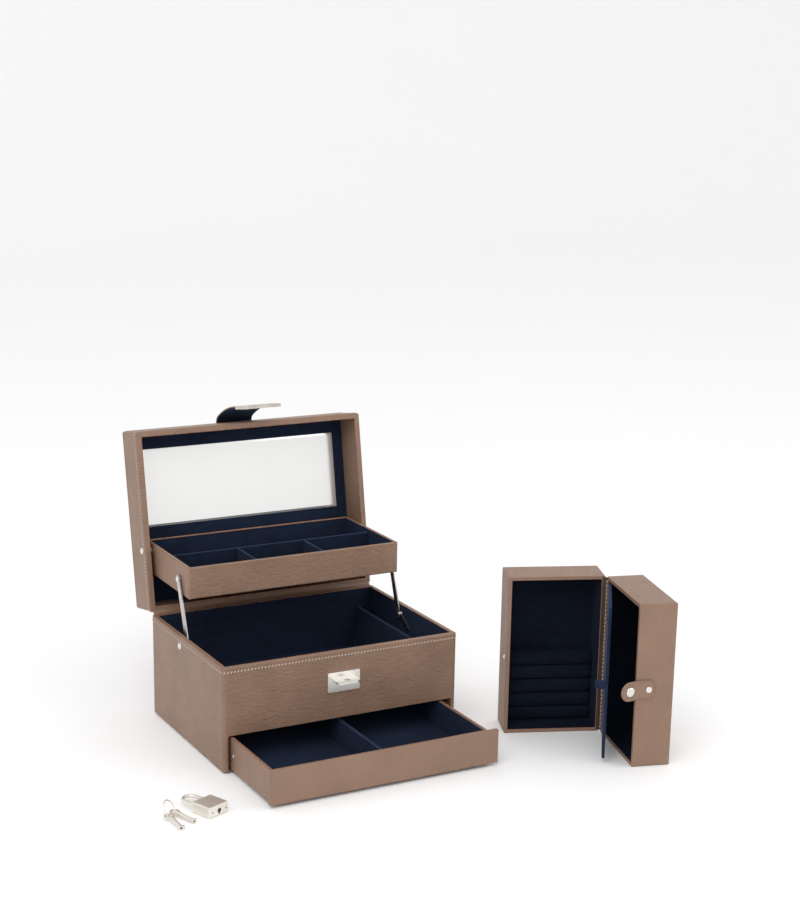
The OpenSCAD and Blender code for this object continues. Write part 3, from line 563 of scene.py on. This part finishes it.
# ---------------------------------------------------------------- lid
LID_WALL = 5.5 * MM
l_lo, l_hi = local_box("lid_shell", IN_LID)
lw, ld = l_hi[0] - l_lo[0], l_hi[1] - l_lo[1]
lid_mid = middle(l_lo, l_hi)
stitched_edge("lid_rim_stitches", lw, ld, l_lo[2] + SEAM_DROP, lid_mid, "lid", IN_LID)
edge_paint("lid_edge_paint", lw - 2 * LID_WALL, ld - 2 * LID_WALL, MOUTH_R,
           l_lo[2] + 0.55 * MM, lid_mid, "lid", IN_LID)
edge_paint("lid_top_crease", lw, ld, SHELL_R, l_hi[2] - 5.2 * MM, lid_mid, "lid", IN_LID, 0.22)

# Mirror with a narrow bevel
m_lo, m_hi = local_box("mirror", IN_LID)
profile = [(0.0, m_hi[2]), (0.0, m_lo[2] + 0.7 * MM), (0.15 * MM, m_lo[2] + 0.5 * MM),
           (2.4 * MM, m_lo[2])]
v, f = loft(stack(m_hi[0] - m_lo[0], m_hi[1] - m_lo[1], 0.6 * MM, profile, middle(m_lo, m_hi)))
make("mirror_glass", v, f, MIRROR, "lid", IN_LID, hides=("mirror",), sharp=5)

# ---------------------------------------------------------------- tray
PAINT_OUT, PAINT_IN = 0.8 * MM, 3.1 * MM   # the painted rim's two sides, from the outside
t_lo, t_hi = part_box("tray_shell")
tray_mid = middle(t_lo, t_hi)
tw, td = t_hi[0] - t_lo[0], t_hi[1] - t_lo[1]
top = t_hi[2]
for name, a, b in (
        ("back", (t_lo[0] + 1 * MM, t_hi[1] - PAINT_IN), (t_hi[0] - 1 * MM, t_hi[1] - PAINT_OUT)),
        ("left", (t_lo[0] + PAINT_OUT, t_lo[1] + 2 * MM), (t_lo[0] + PAINT_IN, t_hi[1] - 1 * MM)),
        ("right", (t_hi[0] - PAINT_IN, t_lo[1] + 2 * MM), (t_hi[0] - PAINT_OUT, t_hi[1] - 1 * MM))):
    v, f = slab(a + (top - 0.8 * MM,), b + (top + 0.45 * MM,), 0.7 * MM, 0.55 * MM)
    make("tray_rim_paint_" + name, v, f, EDGE, "tray")
edge_paint("tray_inner_paint", tw - 6 * MM, td - 6 * MM, 0.6 * MM, top - 0.35 * MM, tray_mid,
           "tray", size=0.4)
edge_paint("tray_crease", tw, td, 2.5 * MM, top - 2.6 * MM, tray_mid, "tray", size=0.16)
q_lo, q_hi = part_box("tray_lining")
v, f = bowl(q_lo, q_hi, LINING_T, 1.2 * MM, 1.4 * MM)
make("tray_suede", v, f, SUEDE, "tray", hides=("tray_lining",))

# ---------------------------------------------------------------- drawer
b_lo, b_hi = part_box("drawer_box")
rim_cap("drawer_rim_paint", b_hi[0] - b_lo[0] - 1.2 * MM, b_hi[1] - b_lo[1] - 1.2 * MM,
        0.9 * MM, 2.4 * MM, b_hi[2], middle(b_lo, b_hi), "drawer")
q_lo, q_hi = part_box("drawer_lining")
v, f = bowl(q_lo, q_hi, LINING_T, 1.2 * MM, 1.4 * MM)
make("drawer_suede", v, f, SUEDE, "drawer", hides=("drawer_lining",))
d_lo, d_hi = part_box("drawer_front")
front_pts = [(x, (d_lo[1] + d_hi[1]) / 2, d_hi[2] - 0.05 * MM)
             for x in (d_lo[0] + 0.8 * MM, d_hi[0] - 0.8 * MM)]
v, f = tube(front_pts, 0.16 * MM, closed=False)
make("drawer_front_crease", v, f, EDGE, "drawer")

# ---------------------------------------------------------------- closing strap
# Its run in the lid's frame: flat on the lid, a tight bend, then a gentle one to the cap
TIGHT_R, TIGHT_TURN = 9 * MM, 66
GENTLE_R, GENTLE_TURN = 118.4 * MM, 24.4
FLAT_STEPS, BEND_STEPS = 24, 16
STRAP_SEAM_IN = 3 * MM    # the strap's edge to its stitches
a_lo, a_hi = local_box("strap_anchor", IN_LID)
strap_t, half_strap = a_hi[2] - a_lo[2], (a_hi[0] - a_lo[0]) / 2
bend = IN_LID.inverted() @ Vector(joints["strap_bend"]["pos_m"])
tail = a_hi[1] - bend[1]
stations = []
for i in range(FLAT_STEPS + 1):
    y = bend[1] + tail * (1 - i / FLAT_STEPS)
    stations.append((Vector((0, y, bend[2])), Z, X, tail * i / FLAT_STEPS))
reach, at = tail, Vector((0, bend[1], bend[2]))
for radius, first, swing in ((TIGHT_R, 0, TIGHT_TURN), (GENTLE_R, TIGHT_TURN, GENTLE_TURN)):
    for i in range(BEND_STEPS):
        a = math.radians(first + swing * (i + 0.5) / BEND_STEPS)
        b = math.radians(first + swing * (i + 1) / BEND_STEPS)
        move = radius * math.radians(swing) / BEND_STEPS
        at = at + Vector((0, -math.cos(a), -math.sin(a))) * move
        reach += move
        stations.append((at.copy(), Vector((0, -math.sin(b), math.cos(b))), X, reach))


def strap_width(s):
    """Half width at a distance from the strap's round end."""
    if s < half_strap:
        return max(0.9 * MM, math.sqrt(max(half_strap ** 2 - (half_strap - s) ** 2, 0)))
    return half_strap


v, f = strip(stations, strap_t / 2 - 1.6 * MM, strap_t / 2, strap_width)
band = make("strap_band", v, f, TAUPE_SMALL, None, IN_LID,
            hides=("strap_leather", "strap_anchor"), sharp=60)
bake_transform(band)
v, f = strip(stations, -strap_t / 2, strap_t / 2 - 1.5 * MM,
             lambda s: max(0.5 * MM, strap_width(s) - 0.5 * MM))
under = make("strap_suede", v, f, SUEDE, None, IN_LID,
             hides=("strap_lining",), sharp=60)
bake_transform(under)
verts, faces = [], []
for side, run in ((-1, stations), (1, stations[::-1])):
    path = [(p + n * (strap_t / 2 + 0.05 * MM)
             + across * side * (strap_width(s) - STRAP_SEAM_IN), n)
            for p, n, across, s in run if s > STRAP_SEAM_IN]
    join(verts, faces, *stitch_run(path, 3.1 * MM, 2.2 * MM, 0.3 * MM, 8, False))
seam = make("strap_stitches", verts, faces, THREAD, None, IN_LID)
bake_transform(seam)

# ---------------------------------------------------------------- travel case
TRAVEL_WALL = 3.5 * MM
for side, place in (("left", IN_LEFT), ("right", IN_RIGHT)):
    body, lining = "travel_" + side, "travel_lining_" + side
    upright = place @ turn(90, "X")
    c_lo, c_hi = local_box(lining, upright)
    v, f = bowl(c_lo, c_hi, LINING_T, 1.6 * MM, 2.0 * MM)
    # Its lining takes the shaded suede copy: painted shade inside the case.
    make("travel_suede_" + side, v, f, SUEDE_SHADED, body, upright, hides=(lining,))
    s_lo, s_hi = local_box("travel_shell_" + side, upright)
    w, l = s_hi[0] - s_lo[0], s_hi[1] - s_lo[1]
    edge_paint("travel_edge_paint_" + side, w - 2 * TRAVEL_WALL, l - 2 * TRAVEL_WALL, MOUTH_R,
               s_hi[2] - 0.6 * MM, middle(s_lo, s_hi), body, upright, 0.5)

# Ring rolls: soft bolsters, drawn in at their ends, with small puckers, in the shaded suede copy: painted shade
# inside the case
ROLLS, ROLL_RINGS, ROLL_SIDES = 5, 49, 28
r_lo, r_hi = local_box("ring_rolls", IN_LEFT)
pitch = (r_hi[2] - r_lo[2] + 0.4 * MM) / ROLLS
half_roll = pitch / 2 - 0.15 * MM
roll_length, depth = r_hi[0] - r_lo[0], r_hi[1] - r_lo[1]
verts, faces = [], []
for i in range(ROLLS):
    cz = r_lo[2] - 0.2 * MM + (i + 0.5) * pitch
    rings = []
    for k in range(ROLL_RINGS):
        u = k / (ROLL_RINGS - 1)
        x = r_lo[0] + u * roll_length
        near = min(u, 1 - u) * roll_length
        end_cap = 0.25 if k in (0, ROLL_RINGS - 1) else 0
        draw = 1 - 0.22 * math.exp(-near / (2.2 * MM)) - end_cap
        ring = []
        for m in range(ROLL_SIDES):
            a = math.tau * m / ROLL_SIDES
            c, s = math.cos(a), math.sin(a)
            fy = -abs(c) ** 0.8 if c < 0 else 0.75 * abs(c) ** 0.5
            sz = math.copysign(abs(s) ** 0.85, s)
            p = Vector((x, r_lo[1] + depth * 0.57, cz))
            pucker = 0.28 * MM * noise.noise(Vector((x * 260, a * 0.8, i * 5.3)))
            pucker += (0.16 * MM * noise.noise(Vector((x * 700, a * 2.0, i * 3.1)))
                       * math.exp(-near / (14 * MM)) * 2)
            ring.append((x, p[1] + fy * (depth * 0.56 * draw + pucker),
                         cz + sz * (half_roll * draw + pucker * 0.6)))
        rings.append(ring)
    join(verts, faces, *loft(rings))
rolls = make("ring_bolsters", verts, faces, SUEDE_SHADED, "travel_left", IN_LEFT,
             hides=("ring_rolls",), sharp=70)

# Flap: suede-covered board with a pull tab, both in the lightest suede copy: painted highlight on the lit flap
TAB_Z, TAB_H, FLAP_T = 79 * MM, 9 * MM, 3 * MM
flap_axis = IN_RIGHT.inverted() @ Vector(joints["flap_hinge"]["pos_m"])
in_flap = IN_RIGHT @ about(flap_axis, turn(-upper_limit("flap_hinge"), "Z")) @ turn(90, "X")
f_lo, f_hi = local_box("travel_flap", in_flap)
face = f_lo[2] + FLAP_T
v, f = slab(f_lo, (f_hi[0], f_hi[1], face), 2.2 * MM, 1.6 * MM)
make("flap_board", v, f, SUEDE_LIT, "travel_flap", in_flap, hides=("travel_flap",))
v, f = slab((f_hi[0] - 2.3 * MM, TAB_Z, face - 1.5 * MM),
            (f_hi[0] - 0.9 * MM, TAB_Z + TAB_H, f_hi[2]), 0.6 * MM, 0.6 * MM)
make("flap_pull_tab", v, f, SUEDE_LIT, "travel_flap", in_flap)

# Spine: one strip of leather across the fold, with a seam on the right half; its leather is darkened as painted
# shade between the halves
sl_lo, sl_hi = local_box("travel_spine_left", IN_LEFT)
spine_mid_x = (sl_lo[0] + sl_hi[0]) / 2
left_pts = [Vector((x, sl_lo[1] + 0.05 * MM, 0))
            for x in (sl_lo[0] + 0.1 * MM, spine_mid_x, sl_hi[0])]
right_pts = [Vector((-p[0], p[1], 0)) for p in reversed(left_pts)]
line = [IN_LEFT @ p for p in left_pts] + [IN_RIGHT @ p for p in right_pts]
n_left = (IN_LEFT.to_3x3() @ Vector((0, -1, 0))).normalized()
n_right = (IN_RIGHT.to_3x3() @ Vector((0, -1, 0))).normalized()
mid_z, half_length = (sl_lo[2] + sl_hi[2]) / 2, (sl_hi[2] - sl_lo[2]) / 2
stations = []
for i in range(25):
    t = i / 24 * 5
    k = min(int(t), 4)
    at = line[k].lerp(line[k + 1], t - k)
    normal = n_left.lerp(n_right, min(max((i - 8) / 8, 0), 1)).normalized()
    stations.append((at + Vector((0, 0, mid_z)), normal, Z, i))
v, f = strip(stations, -0.75 * MM, 0.1 * MM, lambda s: half_length)
spine = make("spine_strip", v, f, SPINE_SHADED_LEATHER, None,
             hides=("travel_spine_left", "travel_spine_right"), sharp=50)
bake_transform(spine)
at = IN_RIGHT @ Vector((-spine_mid_x, sl_lo[1], 0))
path = [(at + Vector((0, 0, z)), n_right) for z in (sl_lo[2] + 2 * MM, sl_hi[2] - 2 * MM)]
v, f = stitch_run(path, 4.4 * MM, 3.0 * MM, 0.68 * MM, 0, False)
make("spine_stitches", v, f, THREAD, "travel_right")

# Snap strap: one leather strap from its riveted root to its round tip
ROOT_R = 6 * MM           # round corners of the root
ROOT_END = 3 * MM         # where the root stops, short of the bend
FREE_START = -2.5 * MM    # where the free part starts, past the bend
k_lo, k_hi = local_box("snap_strap_root", IN_RIGHT)
pivot = IN_RIGHT.inverted() @ Vector(joints["snap_bend"]["pos_m"])
in_snap = IN_RIGHT @ about(pivot, turn(upper_limit("snap_bend"), "Z"))
n_lo, n_hi = local_box("snap_strap", in_snap)
root_x, free_x = (k_lo[0] + k_hi[0]) / 2, (n_lo[0] + n_hi[0]) / 2
zc = (k_lo[2] + k_hi[2]) / 2
turned = IN_RIGHT.inverted() @ in_snap
line = [Vector((root_x, k_hi[1] - (k_hi[1] - ROOT_END) * i / 14, zc)) for i in range(15)]
line += [turned @ Vector((free_x, FREE_START + (n_lo[1] - FREE_START) * i / 22, zc))
         for i in range(23)]
stations, s = [], 0.0
for i, p in enumerate(line):
    a, b = line[max(i - 1, 0)], line[min(i + 1, len(line) - 1)]
    d = (b - a).normalized()
    if i:
        s += (p - line[i - 1]).length
    stations.append((p, Vector((-d[1], d[0], 0)), Z, s))
if stations[0][1][0] < 0:
    stations = [(p, -n, c, s) for p, n, c, s in stations]
total, half_w = s, (k_hi[2] - k_lo[2]) / 2


def snap_width(s):
    """Half width at a distance from the root's end."""
    left = total - s
    if s < ROOT_R:
        return half_w - ROOT_R + max(0.3 * MM, math.sqrt(ROOT_R ** 2 - (ROOT_R - s) ** 2))
    if left < half_w:
        return max(0.7 * MM, math.sqrt(max(half_w ** 2 - (half_w - left) ** 2, 0)))
    return half_w


v, f = strip(stations, -0.9 * MM, 0.9 * MM, snap_width)
tongue = make("snap_tongue", v, f, TAUPE_SMALL, None, IN_RIGHT,
              hides=("snap_strap_root", "snap_strap"), sharp=60)
cap_lo, cap_hi = local_box("snap_cap", in_snap)
cap_y, cap_z = (cap_lo[1] + cap_hi[1]) / 2, (cap_lo[2] + cap_hi[2]) / 2
drill(tongue, in_snap @ Vector((free_x, cap_y, zc)), in_snap.to_3x3() @ X, 3.6 * MM, 2 * MM)
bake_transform(tongue)
edge = [(p + n * 0.92 * MM, c * (snap_width(s) - 1.3 * MM))
        for p, n, c, s in stations if 1.5 * MM < s < total - 0.9 * MM]
rim = [p + out for p, out in edge] + [p - out for p, out in reversed(edge)]
v, f = tube(rim, 0.2 * MM, closed=False)
crease = make("snap_tongue_crease", v, f, EDGE, None, IN_RIGHT)
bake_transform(crease)

# ---------------------------------------------------------------- polished heads
RIVET = joints["arm_left_pivot"]["pos_m"]
PIN = joints["tray_pivot"]["pos_m"]
for name, body, point, node in (("base_rivet_head", "base", RIVET, "arm_pivot_rivets"),
                                ("lid_pin_head", "lid", PIN, "tray_pivot_pins")):
    h_lo, h_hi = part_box(node)
    for side, x, d in (("left", h_lo[0], -1), ("right", h_hi[0], 1)):
        v, f = dome((x - d * 1.25 * MM, point[1], point[2]), (d, 0, 0), 3.65 * MM, 1.45 * MM)
        make(name + "_" + side, v, f, NICKEL, body, sharp=55)
v, f = dome((cap_lo[0] + 0.2 * MM, cap_y, cap_z), X, 5.3 * MM, 2.3 * MM)
make("snap_cap_dome", v, f, NICKEL, "snap", in_snap, sharp=55)
c_lo, c_hi = local_box("snap_strap_rivet", IN_RIGHT)
v, f = dome((k_hi[0] + 0.05 * MM, (c_lo[1] + c_hi[1]) / 2, (c_lo[2] + c_hi[2]) / 2), X,
            3.3 * MM, 1.5 * MM)
make("snap_rivet_dome", v, f, NICKEL, "travel_right", IN_RIGHT, sharp=55)

# Softened edges, width in mm, on the metal pieces that stay as CAD made them
for name, width in (("hasp_cap", 0.5), ("lock_plate", 0.4), ("lock_staple", 0.5),
                    ("arm_left", 0.25), ("arm_right", 0.25), ("arm_brackets", 0.25),
                    ("padlock_plug", 0.15)):
    soft = nodes[name].modifiers.new("soft_edge", "BEVEL")
    soft.width, soft.segments = width * MM, 3
    soft.limit_method, soft.angle_limit = "ANGLE", math.radians(40)
    soft.harden_normals = True


# ---------------------------------------------------------------- stage, light, camera
def stage_mesh():
    """Floor that curves up into a backdrop, in metres."""
    half_width, front, bend_at, bend_r, height = 9.0, -3.5, 4.0, 1.5, 6.0
    profile = [(front, 0.0), (bend_at, 0.0)]
    profile += [(bend_at + bend_r * math.sin(math.radians(a)),
                 bend_r - bend_r * math.cos(math.radians(a))) for a in range(6, 91, 6)]
    profile += [(bend_at + bend_r, height)]
    verts = [(x, y, z) for y, z in profile for x in (-half_width, half_width)]
    faces = [(2 * i, 2 * i + 1, 2 * i + 3, 2 * i + 2) for i in range(len(profile) - 1)]
    return verts, faces


v, f = stage_mesh()
FLOOR = plain("pale_floor", (0.955, 0.955, 0.958), (0.95, 0.95, 0.953), 3.0, 0.85, 0.0)
floor = make("studio_floor", v, f, FLOOR, None, fix=False)

SKY_STRENGTH = 0.94
world = bpy.data.worlds.new("studio")
world.use_nodes = True
sky = world.node_tree.nodes["Background"].inputs
sky["Color"].default_value = (1.0, 1.0, 1.0, 1.0)
sky["Strength"].default_value = SKY_STRENGTH
scene.world = world


def area_light(name, at, size, power):
    """Square soft light, aimed at the middle of the part."""
    light = bpy.data.lights.new(name, "AREA")
    light.shape, light.size, light.energy = "SQUARE", size, power
    obj = bpy.data.objects.new(name, light)
    obj.location = at
    aim = Vector((0.05, -0.05, 0.1)) - Vector(at)
    obj.rotation_euler = aim.to_track_quat("-Z", "Y").to_euler()
    scene.collection.objects.link(obj)


area_light("key", (-1.3, -1.5, 2.3), 1.8, 26)
area_light("fill", (1.8, -1.6, 1.4), 1.6, 7)

# The photograph's viewing angle, in radians: yaw from +Y towards +X, pitch down, roll
YAW, PITCH, ROLL = 0.4983, 0.2656, 0.0175
CAMERA_AT = (-0.7627, -1.6096, 0.6845)
camera = bpy.data.cameras.new("camera")
camera.sensor_width = 36
camera.lens = 72.04
camera.shift_y = 0.1
camera.clip_end = 50
eye = bpy.data.objects.new("camera", camera)
view = Vector((math.sin(YAW) * math.cos(PITCH), math.cos(YAW) * math.cos(PITCH), -math.sin(PITCH)))
right = Vector((math.cos(YAW), -math.sin(YAW), 0))
up = right.cross(view)
right, up = (math.cos(ROLL) * right + math.sin(ROLL) * up,
             -math.sin(ROLL) * right + math.cos(ROLL) * up)
axes = Matrix((right, up, -view)).transposed().to_4x4()
eye.matrix_world = Matrix.Translation(CAMERA_AT) @ axes
scene.collection.objects.link(eye)
scene.camera = eye
scene.view_settings.view_transform = "Standard"
